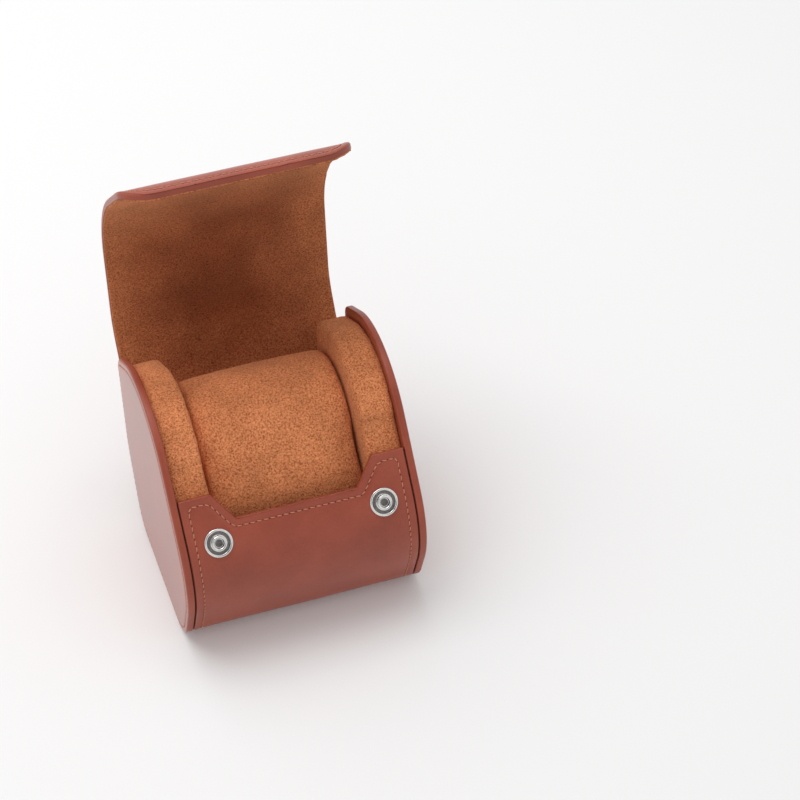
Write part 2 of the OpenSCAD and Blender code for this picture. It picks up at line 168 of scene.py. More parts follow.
backAt = hingeAt + leafTop - leafBack
frontAt = hingeAt + leafLip - leafBack
lipAt = hingeAt + lipEnd - leafBack
# body before the crease, body after it, where it lies, half length of its bend
creases = {
    "hinge": ("case", "flap_back", hingeAt, flapSide["hingeBend"]),
    "back": ("flap_back", "flap_top", backAt, flapSide["backBend"]),
    "front": ("flap_top", "flap_lip", frontAt, flapSide["frontBend"]),
}


def rigidPlace(u):
    if u <= hingeAt:
        return placeOn(caseRun, u + tabStart)
    y, z, a = openFlap(u - hingeAt + leafBack)
    v = max(0.0, u - lipAt + flapSide["curlLength"])
    curl = math.radians(flapSide["lipCurl"]) * v / flapSide["curlLength"]
    inward = curl * v / 2
    return y - inward * math.cos(a), z - inward * math.sin(a), a + curl


def softPlace(u):
    # the sheet of leather: rigid leaves with a smooth bend over each crease
    for *bodies, crease, half in creases.values():
        if abs(u - crease) < half:
            p, q = rigidPlace(crease - half), rigidPlace(crease + half)
            span = math.hypot(q[0] - p[0], q[1] - p[1])
            t = (u - crease + half) / (2 * half)
            tp, tq = (Vector((-math.sin(e[2]), math.cos(e[2]))) * span for e in (p, q))
            a, b = Vector(p[:2]), Vector(q[:2])
            place = (a * (2 * t**3 - 3 * t**2 + 1) + tp * (t**3 - 2 * t**2 + t)
                     + b * (3 * t**2 - 2 * t**3) + tq * (t**3 - t**2))
            slope = (a * (6 * t**2 - 6 * t) + tp * (3 * t**2 - 4 * t + 1)
                     + b * (6 * t - 6 * t**2) + tq * (3 * t**2 - 2 * t))
            return place[0], place[1], math.atan2(slope[1], slope[0]) - math.pi / 2
    return rigidPlace(u)


stationStep = 0.5
stations = []
for k in range(int(lipAt / stationStep) + 3):
    y, z, a = softPlace(k * stationStep)
    while stations and a < stations[-1][2] - math.pi:
        a += 2 * math.pi
    while stations and a > stations[-1][2] + math.pi:
        a -= 2 * math.pi
    stations.append((y, z, a))


def station(u):
    k = min(max(u / stationStep, 0), len(stations) - 1.001)
    i, f = int(k), k - int(k)
    return tuple(stations[i][j] + (stations[i + 1][j] - stations[i][j]) * f for j in range(3))


def wrapped(p):
    # from the flat cut (across, along, height over the leather's face), in mm, to the case
    y, z, a = station(p[1])
    return Vector((p[0], y + p[2] * math.cos(a), z + p[2] * math.sin(a))) * mm


print("sheet of leather runs", round(lipAt, 1), "mm from the tabs to the lip")


# ---- working tools ----

def selectOnly(obj):
    if bpy.context.object and bpy.context.object.mode != "OBJECT":
        bpy.ops.object.mode_set(mode="OBJECT")
    bpy.ops.object.select_all(action="DESELECT")
    obj.select_set(True)
    bpy.context.view_layer.objects.active = obj


def pick(obj, kind, test):
    # selects the faces or edges the test holds for and leaves the object in edit mode
    selectOnly(obj)
    bpy.ops.object.mode_set(mode="EDIT")
    bpy.ops.mesh.select_mode(type=kind)
    bpy.ops.mesh.select_all(action="DESELECT")
    bpy.ops.object.mode_set(mode="OBJECT")
    mesh = obj.data
    if kind == "FACE":
        for face in mesh.polygons:
            face.select = test(face.center, face.normal)
    else:
        for edge in mesh.edges:
            edge.select = all(test(mesh.vertices[i].co) for i in edge.vertices)
    bpy.ops.object.mode_set(mode="EDIT")


def useModifier(obj, kind, **settings):
    selectOnly(obj)
    modifier = obj.modifiers.new(kind.title(), kind)
    for key, value in settings.items():
        setattr(modifier, key, value)
    bpy.ops.object.modifier_apply(modifier=modifier.name)


def smoothFaces(obj, degrees=35):
    selectOnly(obj)
    bpy.ops.object.shade_smooth_by_angle(angle=math.radians(degrees))


def intoScene(name, data):
    obj = bpy.data.objects.new(name, data)
    bpy.context.scene.collection.objects.link(obj)
    return obj


def newMesh(name, points, faces, edges=()):
    mesh = bpy.data.meshes.new(name)
    mesh.from_pydata(points, edges, faces)
    mesh.update()
    return intoScene(name, mesh)


def evenSteps(start, end, step):
    count = max(1, round(abs(end - start) / step))
    return [start + (end - start) * k / count for k in range(count + 1)]


def stepsThrough(*legs):
    # legs of (start, end, step) that follow each other
    result = []
    for leg in legs:
        result += evenSteps(*leg)[1 if result else 0:]
    return result


def gridSheet(name, columns, rows):
    bpy.ops.mesh.primitive_grid_add(x_subdivisions=len(columns) - 1,
                                    y_subdivisions=len(rows) - 1, size=1)
    obj = bpy.context.object
    obj.name = obj.data.name = name
    for i, vertex in enumerate(obj.data.vertices):
        vertex.co = (columns[i % len(columns)], rows[i // len(columns)], 0)
    return obj


def wrapSheet(obj):
    # keeps the flat cut as an attribute for the materials, then bends the sheet
    mesh = obj.data
    cut = mesh.attributes.new("flatCut", "FLOAT_VECTOR", "POINT")
    for i, vertex in enumerate(mesh.vertices):
        cut.data[i].vector = vertex.co * mm
        vertex.co = wrapped(vertex.co)
    mesh.update()
    return obj


def softNoise(x, y, z, scale, seed=0.0):
    return noise.noise(Vector((x / scale + seed, y / scale - seed, z / scale + seed * 0.5)))


def clamp(value, low=0.0, high=1.0):
    return max(low, min(high, value))


def quarterTurn(step):
    # (1 - cosine, 1 - sine) from 0 to 90 degrees, for rounded rims
    return [(1 - math.cos(math.radians(a)), 1 - math.sin(math.radians(a)))
            for a in range(0, 91, step)]


# ---- materials ----

def makeMaterial(name):
    material = bpy.data.materials.new(name)
    material.use_nodes = True
    tree = material.node_tree
    return material, tree, tree.nodes["Principled BSDF"]


def addNode(tree, kind, **settings):
    node = tree.nodes.new("ShaderNode" + kind)
    for key, value in settings.items():
        if key in node.inputs:
            node.inputs[key].default_value = value
        else:
            setattr(node, key, value)
    return node


def setInputs(node, values):
    for key, value in values.items():
        node.inputs[key].default_value = value


def colourRamp(tree, source, stops):
    ramp = tree.nodes.new("ShaderNodeValToRGB")
    while len(ramp.color_ramp.elements) < len(stops):
        ramp.color_ramp.elements.new(0.5)
    for element, (place, colour) in zip(ramp.color_ramp.elements, stops):
        element.position = place
        element.color = (*colour, 1)
    tree.links.new(source, ramp.inputs["Fac"])
    return ramp.outputs["Color"]


def mixColour(tree, factor, a, b, how="MIX"):
    node = tree.nodes.new("ShaderNodeMix")
    node.data_type = "RGBA"
    node.blend_type = how
    for socket, value in ((node.inputs[0], factor), (node.inputs[6], a), (node.inputs[7], b)):
        if isinstance(value, bpy.types.NodeSocket):
            tree.links.new(value, socket)
        else:
            socket.default_value = value if isinstance(value, float) else (*value, 1)
    return node.outputs[2]


def patternSource(tree, onSheet):
    # on a bent sheet the pattern follows the flat cut, else it reads the object's own space
    if onSheet:
        return addNode(tree, "Attribute", attribute_name="flatCut").outputs["Vector"]
    return addNode(tree, "TexCoord").outputs["Object"]


def bumpChain(tree, shader, *layers):
    normal = None
    for height, strength, distance in layers:
        bump = addNode(tree, "Bump", Strength=strength, Distance=distance)
        tree.links.new(height, bump.inputs["Height"])
        if normal:
            tree.links.new(normal, bump.inputs["Normal"])
        normal = bump.outputs["Normal"]
    tree.links.new(normal, shader.inputs["Normal"])


leatherLook = {
    "light": (0.400, 0.082, 0.041),
    "middle": (0.335, 0.062, 0.030),
    "dark": (0.265, 0.046, 0.022),
    "cloud": 45.0,          # per metre, soft clouds of the dye
    "grain": 1500.0,        # pores
    "warp": 700.0,          # uneven hide
    "fine": 4200.0,
    "roughness": 0.44,
    "specular": 0.35,
    "coatRoughness": 0.28,
}


def leatherMaterial(name, onSheet, coat):
    material, tree, shader = makeMaterial(name)
    where = patternSource(tree, onSheet)
    cloud = addNode(tree, "TexNoise", Scale=leatherLook["cloud"], Detail=5.0, Roughness=0.6)
    pores = addNode(tree, "TexVoronoi", Scale=leatherLook["grain"], feature="DISTANCE_TO_EDGE")
    warp = addNode(tree, "TexNoise", Scale=leatherLook["warp"], Detail=3.0)
    fine = addNode(tree, "TexNoise", Scale=leatherLook["fine"], Detail=2.0)
    for node in (cloud, pores, warp, fine):
        tree.links.new(where, node.inputs["Vector"])
    base = colourRamp(tree, cloud.outputs["Fac"], [
        (0.25, leatherLook["dark"]), (0.5, leatherLook["middle"]), (0.75, leatherLook["light"])])
    speck = colourRamp(tree, pores.outputs["Distance"],
                       [(0.0, (0.8, 0.78, 0.78)), (0.12, (1, 1, 1))])
    tree.links.new(mixColour(tree, 0.6, base, speck, "MULTIPLY"), shader.inputs["Base Color"])
    rough = addNode(tree, "MapRange", **{"To Min": leatherLook["roughness"] - 0.06,
                                         "To Max": leatherLook["roughness"] + 0.08})
    tree.links.new(cloud.outputs["Fac"], rough.inputs["Value"])
    tree.links.new(rough.outputs["Result"], shader.inputs["Roughness"])
    bumpChain(tree, shader, (pores.outputs["Distance"], 0.25, 0.0002),
              (warp.outputs["Fac"], 0.18, 0.0004), (fine.outputs["Fac"], 0.1, 0.0001))
    setInputs(shader, {"Specular IOR Level": leatherLook["specular"], "Coat Weight": coat,
                       "Coat Roughness": leatherLook["coatRoughness"]})
    return material


suedeLook = {
    "lit": (0.920, 0.370, 0.160),
    "middle": (0.760, 0.268, 0.107),
    "deep": (0.400, 0.105, 0.036),
    "pile": 1700.0,         # tufts, per metre
    "nap": 55.0,            # brushed patches
    "hair": 5200.0,
    "paintedShade": (0.42, 0.30, 0.26),      # painted shade over the flap, deepest in its middle
    "sheen": (0.9, 0.5, 0.28, 1),
}


def suedeMaterial(name, onSheet):
    material, tree, shader = makeMaterial(name)
    where = patternSource(tree, onSheet)
    tuft = addNode(tree, "TexNoise", Scale=suedeLook["pile"], Detail=3.0, Roughness=0.65,
                   Distortion=0.6)
    fleck = addNode(tree, "TexVoronoi", Scale=suedeLook["pile"] * 1.3, feature="F1")
    nap = addNode(tree, "TexNoise", Scale=suedeLook["nap"], Detail=4.0, Roughness=0.55)
    hair = addNode(tree, "TexNoise", Scale=suedeLook["hair"], Detail=1.0)
    for node in (tuft, fleck, nap, hair):
        tree.links.new(where, node.inputs["Vector"])
    tufts = colourRamp(tree, tuft.outputs["Fac"], [
        (0.36, suedeLook["deep"]), (0.5, suedeLook["middle"]), (0.62, suedeLook["lit"])])
    shade = colourRamp(tree, nap.outputs["Fac"],
                       [(0.3, (0.78, 0.76, 0.74)), (0.7, (1.12, 1.12, 1.12))])
    # painted shade on the flap's lining, read from the attribute, over the nap's random patches
    flapShade = addNode(tree, "Attribute", attribute_name="paintedShadeAndNap")
    paintedShade = mixColour(tree, flapShade.outputs["Fac"], (1.0, 1.0, 1.0), suedeLook["paintedShade"])
    nappedAndShaded = mixColour(tree, 1.0, shade, paintedShade, "MULTIPLY")
    tree.links.new(mixColour(tree, 1.0, tufts, nappedAndShaded, "MULTIPLY"), shader.inputs["Base Color"])
    setInputs(shader, {"Roughness": 0.95, "Specular IOR Level": 0.15, "Sheen Weight": 0.35,
                       "Sheen Roughness": 0.5, "Sheen Tint": suedeLook["sheen"]})
    bumpChain(tree, shader, (tuft.outputs["Fac"], 0.8, 0.0005),
              (fleck.outputs["Distance"], 0.35, 0.0004), (hair.outputs["Fac"], 0.3, 0.0001))
    return material


def plainMaterial(name, light, dark, scale, roughness, metallic=0.0, bump=0.1, depth=0.0001):
    material, tree, shader = makeMaterial(name)
    where = patternSource(tree, False)
    grain = addNode(tree, "TexNoise", Scale=scale, Detail=4.0, Roughness=0.6)
    tree.links.new(where, grain.inputs["Vector"])
    tree.links.new(colourRamp(tree, grain.outputs["Fac"], [(0.3, dark), (0.7, light)]),
                   shader.inputs["Base Color"])
    setInputs(shader, {"Roughness": roughness, "Metallic": metallic})
    bumpChain(tree, shader, (grain.outputs["Fac"], bump, depth))
    return material


leatherSheet = leatherMaterial("leatherSheet", True, 0.25)
leatherPanel = leatherMaterial("leatherPanel", False, 0.9)
leatherRim = leatherMaterial("leatherRim", False, 0.15)
suedeSheet = suedeMaterial("suedeSheet", True)
suedePad = suedeMaterial("suedePad", False)
nickel = plainMaterial("nickel", (0.74, 0.72, 0.70), (0.60, 0.59, 0.58), 900.0, 0.2, 1.0, 0.05)
# dark nickel as painted shade down the snap's hole and a painted dark reflection in its groove
paintedShadeNickel = plainMaterial("paintedShadeNickel", (0.22, 0.21, 0.20), (0.12, 0.115, 0.11), 1400.0, 0.42,
                           1.0, 0.1)
thread = plainMaterial("thread", (0.66, 0.27, 0.16), (0.46, 0.16, 0.09), 3500.0, 0.7, 0.0, 0.5)
# painted shade of the stitch holes
stitchHoleShade = plainMaterial("stitchHoleShade", (0.05, 0.012, 0.008), (0.03, 0.008, 0.005), 3000.0, 0.9)
dyedBoard = plainMaterial("dyedBoard", (0.075, 0.022, 0.014), (0.04, 0.012, 0.008), 1200.0, 0.85)
greyBoard = plainMaterial("greyBoard", (0.50, 0.42, 0.32), (0.38, 0.31, 0.23), 1500.0, 0.9)
fillingFoam = plainMaterial("fillingFoam", (0.85, 0.8, 0.68), (0.75, 0.7, 0.58), 1800.0, 0.95)
print("materials made")


def finishPiece(obj, material, body=None, replaced=()):
    obj.data.materials.clear()
    obj.data.materials.append(material)
    if body:
        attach(obj, body)
    if replaced:
        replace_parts(obj, *replaced)
    return obj


# ---- leather sheet: front, underside, back, and the three leaves of the flap ----

leatherCut = {
    "thick": 1.1,
    "wrapHalf": 40.8,
    "flapHalf": 41.0,
    "tabInner": 29.3,       # half width of the cut-out at its mouth
    "notchInner": 22.0,     # and at its bottom
    "notchDeep": 10.0,
    "straightFrom": 24,     # rows bend round the cut-out down to here
    "frontTurn": 2.6,       # thickness of the turned front edge
    "frontRow": 0.95,       # and its width
    "flapThick": 2.2,
    "flapTurn": 1.0,        # width of the flap's turned edges
    "turn": 0.9,
    "lipRound": 12.0,
    "edgeRound": 0.45,
    "lipRounding": 0.75,
}
backMiddle = (hingeAt + backAt) / 2
topMiddle = (backAt + frontAt) / 2


def notchEdge(x):
    # the front edge of the wrap, as distance below the tab tops
    x = abs(x)
    slope = (leatherCut["tabInner"] - x) / (leatherCut["tabInner"] - leatherCut["notchInner"])
    return leatherCut["notchDeep"] * clamp(slope)


def belowNotch(x, u, inset=0.0):
    # where a row of an even grid lies in the flat cut, with the cut-out's edge drawn in by inset
    straight = leatherCut["straightFrom"]
    if u >= straight:
        return u
    edge = notchEdge(x) + inset
    return edge + (straight - edge) * u / straight


def sideHalf(u):
    # half width of the sheet, a little more from the hinge on
    mix = clamp((u - hingeAt + 5) / 10)
    return leatherCut["wrapHalf"] + (leatherCut["flapHalf"] - leatherCut["wrapHalf"]) * mix


def lipHalf(u, edge=0.0):
    # half width of the flap, drawn in by edge, with the lip's round corners
    r, end = leatherCut["lipRound"] - edge, lipAt - edge
    over = clamp(u - (end - r), 0, r)
    return leatherCut["flapHalf"] - edge - r + math.sqrt(max(0, r * r - over * over))


def lipDistance(x, u):
    # distance from the flap's edge
    r = leatherCut["lipRound"]
    x, v = abs(x), lipAt - u
    if v < r and x > leatherCut["flapHalf"] - r:
        return r - math.hypot(x - leatherCut["flapHalf"] + r, r - v)
    return min(leatherCut["flapHalf"] - x, v)


seam = {"inset": 2.9, "pitch": 2.4, "flapInset": 3.2}


def insetOutline(points, distance):
    # an open outline moved to its right side by a distance
    lines = []
    for a, b in zip(points, points[1:]):
        d = (Vector(b) - Vector(a)).normalized()
        n = Vector((-d[1], d[0]))
        lines.append((Vector(a) + n * distance, d))
    result = [lines[0][0]]
    for (p, d), (q, e) in zip(lines, lines[1:]):
        cross = d[0] * e[1] - d[1] * e[0]
        t = ((q[0] - p[0]) * e[1] - (q[1] - p[1]) * e[0]) / cross
        result.append(p + d * t)
    result.append(lines[-1][0] + (Vector(points[-1]) - Vector(points[-2])))
    return result


wrapEdge = [(-leatherCut["wrapHalf"], hingeAt), (-leatherCut["wrapHalf"], 0),
            (-leatherCut["tabInner"], 0), (-leatherCut["notchInner"], leatherCut["notchDeep"]),
            (leatherCut["notchInner"], leatherCut["notchDeep"]), (leatherCut["tabInner"], 0),
            (leatherCut["wrapHalf"], 0), (leatherCut["wrapHalf"], hingeAt)]
wrapSeam = insetOutline(wrapEdge, seam["inset"])


def rowDistance(x, u, row):
    best = 1e9
    p = Vector((x, u))
    for a, b in zip(row, row[1:]):
        d = b - a
        t = clamp((p - a).dot(d) / d.length_squared)
        best = min(best, (a + d * t - p).length)
    return best


leatherRelief = {
    "wave": 0.25,
    "waveLength": 24,
    "pull": 0.28,           # depth of the line a seam draws in
    "pullWidth": 0.7,
    "roll": 0.18,           # swell between seam and edge
    "rollAt": 1.3,
    "rollWidth": 0.9,
    "farIn": (30, 20),      # across and along: no seam near from here on
}


def hideWave(x, u):
    return leatherRelief["wave"] * softNoise(x, u, 0, leatherRelief["waveLength"], 3.1)


def wrapRelief(x, u):
    # soft waves, and the leather drawn down along the seam
    if abs(x) < leatherRelief["farIn"][0] and u > leatherRelief["farIn"][1]:
        pull = 0.0
    else:
        pull = math.exp(-(rowDistance(x, u, wrapSeam) / leatherRelief["pullWidth"]) ** 2)
    return hideWave(x, u) - leatherRelief["pull"] * pull


def flapRelief(x, u):
    # the same, with a roll between seam and edge
    d = lipDistance(x, u) if u > topMiddle else leatherCut["flapHalf"] - abs(x)
    pull = math.exp(-((d - seam["flapInset"]) / leatherRelief["pullWidth"]) ** 2)
    roll = math.exp(-((d - leatherRelief["rollAt"]) / leatherRelief["rollWidth"]) ** 2)
    return hideWave(x, u) - leatherRelief["pull"] * pull + leatherRelief["roll"] * roll


def layRelief(obj, relief):
    # full on the outer face, nothing on the inner one
    for vertex in obj.data.vertices:
        x, u, h = vertex.co
        vertex.co.z = h + relief(x, u) * clamp(1 + h / leatherCut["thick"])


# the case's own part, up to the middle of the back leaf
wrapHalf, straightFrom = leatherCut["wrapHalf"], leatherCut["straightFrom"]
wrapColumns = stepsThrough(
    (-wrapHalf, -34, 0.55), (-34, -29.3, 0.8), (-29.3, -22, 0.6), (-22, 22, 2),
    (22, 29.3, 0.6), (29.3, 34, 0.8), (34, wrapHalf, 0.55))
wrapRows = stepsThrough((0, 0.9, 0.45), (0.9, 7, 0.5), (7, straightFrom, 1.2),
                        (straightFrom, backMiddle, 1.5))
wrapLeather = gridSheet("wrapLeather", wrapColumns, wrapRows)
for vertex in wrapLeather.data.vertices:
    x, u, h = vertex.co
    vertex.co = (x * sideHalf(u) / wrapHalf, belowNotch(x, u), h)
useModifier(wrapLeather, "SOLIDIFY", thickness=leatherCut["thick"], offset=-1)


def turnUnder(obj, test, thick):
    # thickens the picked faces of the inner side, where an edge is turned under
    pick(obj, "FACE", lambda c, n: n.z < -0.5 and test(c))
    bpy.ops.mesh.extrude_region_move(TRANSFORM_OT_translate={
        "value": (0, 0, leatherCut["thick"] - thick)})


def roundEdges(obj, test, radius, segments):
    pick(obj, "EDGE", test)
    bpy.ops.mesh.bevel(offset=radius, segments=segments, profile=0.5)
    selectOnly(obj)


def onTurnedFront(c):
    edge = notchEdge(c.x)
    row = (c.y - edge) / (straightFrom - edge) * straightFrom
    return c.y < straightFrom and row < leatherCut["frontRow"]


def onWrapRim(c):
    side = abs(abs(c.x) - sideHalf(c.y)) < 0.02
    front = c.y < leatherCut["notchDeep"] + 1 and abs(c.y - notchEdge(c.x)) < 0.02
    return abs(c.z) < 0.001 and (side or front)


turnUnder(wrapLeather, onTurnedFront, leatherCut["frontTurn"])
turnUnder(wrapLeather, lambda c: c.y > hingeAt and abs(c.x) > wrapHalf - leatherCut["flapTurn"],
          leatherCut["flapThick"])
roundEdges(wrapLeather, onWrapRim, leatherCut["edgeRound"], 4)


def caseRelief(x, u):
    # passes into the flap's relief behind the hinge
    mix = clamp((u - hingeAt) / 6)
    return wrapRelief(x, u) * (1 - mix) + flapRelief(x, u) * mix


layRelief(wrapLeather, caseRelief)
wrapSheet(wrapLeather)
smoothFaces(wrapLeather)

# the next two parts: over the back crease, and over the front crease to the lip
flapColumns = stepsThrough((-41, -36, 0.5), (-36, 36, 2), (36, 41, 0.5))


def flapPiece(name, rows, roundEnd):
    obj = gridSheet(name, flapColumns, rows)
    if roundEnd:
        for vertex in obj.data.vertices:
            vertex.co.x *= lipHalf(vertex.co.y) / leatherCut["flapHalf"]
    useModifier(obj, "SOLIDIFY", thickness=leatherCut["thick"], offset=-1)

    def onTurnedEdge(c):
        distance = lipDistance(c.x, c.y) if roundEnd else leatherCut["flapHalf"] - abs(c.x)
        return distance < leatherCut["flapTurn"]

    def onRim(c):
        side = abs(abs(c.x) - (lipHalf(c.y) if roundEnd else leatherCut["flapHalf"])) < 0.02
        return abs(c.z) < 0.001 and (side or (roundEnd and abs(c.y - lipAt) < 0.01))

    turnUnder(obj, onTurnedEdge, leatherCut["flapThick"])
    roundEdges(obj, onRim, leatherCut["lipRounding"], 4)
    layRelief(obj, flapRelief)
    wrapSheet(obj)
    smoothFaces(obj)
    return obj


def rowsToLip(end, r, step):
    # rows from the middle of the top leaf to an end with round corners
    return evenSteps(topMiddle, end - r, step) + [
        end - r + r * math.sin(math.radians(a)) for a in range(6, 91, 6)]


creaseRows = evenSteps(backMiddle, topMiddle, 1.0)
creaseLeather = flapPiece("creaseLeather", creaseRows, False)
lipLeather = flapPiece("lipLeather", rowsToLip(lipAt, leatherCut["lipRound"], 1.5), True)
print("leather sheet laid")


leafBoardForm = {"inset": 0.15, "gap": 0.05, "endGap": 0.2}


def leafBoard(leaf, low, high):
    # a leaf's board, between the leather and the lining, which stops short of the bends
    inset, gap = leatherCut["turn"] + leafBoardForm["inset"], leafBoardForm["gap"]
    width = leatherCut["flapHalf"] - inset
    obj = gridSheet(leaf + "Board", evenSteps(-width, width, 2.0), evenSteps(low, high, 2.0))
    if high > lipAt - 2:
        for vertex in obj.data.vertices:
            vertex.co.x *= lipHalf(vertex.co.y, inset) / width
    thick = leatherCut["flapThick"] - leatherCut["thick"] - 2 * gap
    useModifier(obj, "SOLIDIFY", thickness=thick, offset=-1)
    for vertex in obj.data.vertices:
        vertex.co.z -= leatherCut["thick"] + gap
    wrapSheet(obj)
    smoothFaces(obj)
    return finishPiece(obj, greyBoard, "flap_" + leaf, ("flap_" + leaf + "_board",))


for leaf, low, high in (
        ("back", hingeAt + flapSide["hingeBend"], backAt - flapSide["backBend"]),
        ("top", backAt + flapSide["backBend"], frontAt - flapSide["frontBend"]),
        ("lip", frontAt + flapSide["frontBend"],
         lipAt - leatherCut["turn"] - leafBoardForm["endGap"])):
    leafBoard(leaf, low, high)
print("boards laid in the flap")


# ---- suede lining ----

liningCut = {
    "half": 40.8,
    "thick": 0.8,
    "edge": 0.7,            # below the leather's front edge
    "round": 0.35,
    "pile": 0.13,
    "seamHalf": 38.2,       # seam's line on the flap's inner face
    "seamDip": 0.4,
    "seamWidth": 0.7,
}


def liningDepth(u):
    # outer side of the lining: behind 1.5 mm board in the case, 1.1 mm in the flap
    return -2.6 + 0.4 * clamp((u - hingeAt + 8) / 16)


def pileNoise(x, u):
    tufts = 0.6 * softNoise(x, u, 0, 1.6, 1.7) + 0.4 * softNoise(x, u, 0, 0.8, 5.2)
    return tufts * liningCut["pile"]


def paintedShadeAndNap(x, u):
    # painted shade over the flap's lining, most in the middle of the flap, varied in patches
    patch = 0.5 * softNoise(x, u, 0, 30, 8.4) + 0.25 * softNoise(x, u, 0, 11, 2.9)
    middle = math.exp(-(x / 36) ** 4 - ((u - topMiddle + 8) / 46) ** 4)
    onFlap = clamp((u - hingeAt - 6) / 20)
    return clamp(onFlap * (0.32 + 0.6 * middle + 0.45 * patch * middle))


def liningPiece(name, rows, warp, edgeTest, seamDistance):
    columns = evenSteps(-liningCut["half"], liningCut["half"], 1.0)
    obj = gridSheet(name, columns, rows)
    for vertex in obj.data.vertices:
        vertex.co.x, vertex.co.y = warp(vertex.co.x, vertex.co.y)
    useModifier(obj, "SOLIDIFY", thickness=liningCut["thick"], offset=-1)
    roundEdges(obj, edgeTest, liningCut["round"], 3)
    for vertex in obj.data.vertices:
        x, u, h = vertex.co
        if h < -liningCut["thick"] * 0.5:
            d = seamDistance(x, u)
            dash = 0.75 + 0.25 * math.cos(2 * math.pi * u / seam["pitch"])
            dip = liningCut["seamDip"] * dash * math.exp(-(d / liningCut["seamWidth"]) ** 2)
            h += 2.2 * pileNoise(x, u) + dip
        vertex.co = (x + pileNoise(u, x), u + pileNoise(x + 9, u), h + liningDepth(u))
    # stores the painted shade of the flap for the suede material
    flapShade = obj.data.attributes.new("paintedShadeAndNap", "FLOAT", "POINT")
    for i, vertex in enumerate(obj.data.vertices):
        flapShade.data[i].value = paintedShadeAndNap(vertex.co.x, vertex.co.y)
    wrapSheet(obj)
    smoothFaces(obj, 60)
    return obj


liningGap = leatherCut["flapHalf"] - liningCut["half"]
liningRound = leatherCut["lipRound"] - liningGap
liningEnd = lipAt - liningGap


def lowEdge(c):
    return abs(c.z + liningCut["thick"]) < 0.001


def onLiningSide(c):
    return lowEdge(c) and abs(abs(c.x) - liningCut["half"]) < 0.01


def onLiningFront(c):
    edge = notchEdge(c.x) + liningCut["edge"]
    return lowEdge(c) and c.y < leatherCut["notchDeep"] + 2 and abs(c.y - edge) < 0.02


def onLiningLip(c):
    side = abs(abs(c.x) - lipHalf(c.y, liningGap)) < 0.02
    return lowEdge(c) and (side or abs(c.y - liningEnd) < 0.01)


def fromSeam(x, u):
    # the case itself has no seam near, so a distance that gives no dip
    return abs(abs(x) - liningCut["seamHalf"]) if u > hingeAt else 9


caseLining = liningPiece(
    "caseLining", evenSteps(0, backMiddle, 1.0),
    lambda x, u: (x, belowNotch(x, u, liningCut["edge"])),
    lambda c: onLiningSide(c) or onLiningFront(c), fromSeam)
creaseLining = liningPiece(
    "creaseLining", evenSteps(backMiddle, topMiddle, 1.0), lambda x, u: (x, u),
    onLiningSide, fromSeam)
lipLining = liningPiece(
    "lipLining", rowsToLip(liningEnd, liningRound, 1.0),
    lambda x, u: (x * lipHalf(u, liningGap) / liningCut["half"], u), onLiningLip,
    lambda x, u: abs(lipDistance(x, u) - seam["flapInset"] + 0.4))
print("suede lining laid")


# ---- seams ----

stitchForm = {
    "long": 1.75, "thick": 0.23, "slant": 0.12, "arch": 0.16, "hole": 0.22, "lift": 0.03}


def stitchParts(a, b):
    # one stitch between two holes, as rings of points in the flat cut
    along = (b - a).normalized()
    side = Vector((-along[1], along[0]))
    middle = (a + b) / 2
    points, faces = [], []
    rings, around = 5, 6
    for i in range(rings):
        t = i / (rings - 1) * 2 - 1
        radius = stitchForm["thick"] * math.sqrt(max(0.08, 1 - abs(t) ** 3))
        centre = middle + along * (t * stitchForm["long"] / 2) + side * (t * stitchForm["slant"])
        for k in range(around):
            angle = 2 * math.pi * k / around
            offset = side * (radius * math.cos(angle))
            height = radius * math.sin(angle) * 0.8 + stitchForm["arch"] * (1 - t * t)
            points.append((centre[0] + offset[0], centre[1] + offset[1], height))
    for i in range(rings - 1):
        for k in range(around):
            n = (k + 1) % around
            low, high = i * around, (i + 1) * around
            faces.append((low + k, low + n, high + n, high + k))
    faces.append(tuple(range(around - 1, -1, -1)))
    faces.append(tuple((rings - 1) * around + k for k in range(around)))
    return points, faces


def holeShadeParts(a):
    # the hole beside it, as a flat dark button of painted shade
    points, around = [], 8
    for radius, height in ((stitchForm["hole"], -0.02), (stitchForm["hole"] * 0.7, 0.05)):
        for k in range(around):
            angle = 2 * math.pi * k / around
            points.append((a[0] + radius * math.cos(angle), a[1] + radius * math.sin(angle),
                           height))
    faces = [(k, (k + 1) % around, around + (k + 1) % around, around + k) for k in range(around)]
    faces.append(tuple(range(around, 2 * around)))
    faces.append(tuple(range(around - 1, -1, -1)))
    return points, faces


def sewRow(row):
    # points at even distances along an outline
    marks, left = [], 0.0
    for a, b in zip(row, row[1:]):
        length = (b - a).length
        t = left
        while t <= length:
            marks.append(a + (b - a) * (t / length))
            t += seam["pitch"]
        left = t - length
    return marks


def seamPiece(name, marks, relief, place=None):
    # place takes a point of a flat panel to the case; without it the seam lies on the wrapped sheet
    points, faces, holes = [], [], []
    for a, b in zip(marks, marks[1:]):
        if (b - a).length > seam["pitch"] * 1.3:
            continue        # from one row to the next
        for part, isHoleShade in ((stitchParts(a, b), False), (holeShadeParts(a), True)):
            start = len(points)
            points += [(p[0], p[1], p[2] + relief(p[0], p[1]) + stitchForm["lift"])
                       for p in part[0]]
            faces += [tuple(i + start for i in f) for f in part[1]]
            holes += [isHoleShade] * len(part[1])
    obj = newMesh(name, [place(p) for p in points] if place else points, faces)
    if not place:
        wrapSheet(obj)
    obj.data.materials.append(thread)
    # second slot: the painted shade of the holes
    obj.data.materials.append(stitchHoleShade)
    for face, isHoleShade in zip(obj.data.polygons, holes):
        face.material_index = 1 if isHoleShade else 0
        face.use_smooth = True
    return obj


flapRowHalf = leatherCut["flapHalf"] - seam["flapInset"]


def sideMarks(low, high):
    # both sides of the flap
    result = []
    for side in (-1, 1):
        result += sewRow([Vector((side * flapRowHalf, u)) for u in (low, high)])
    return result


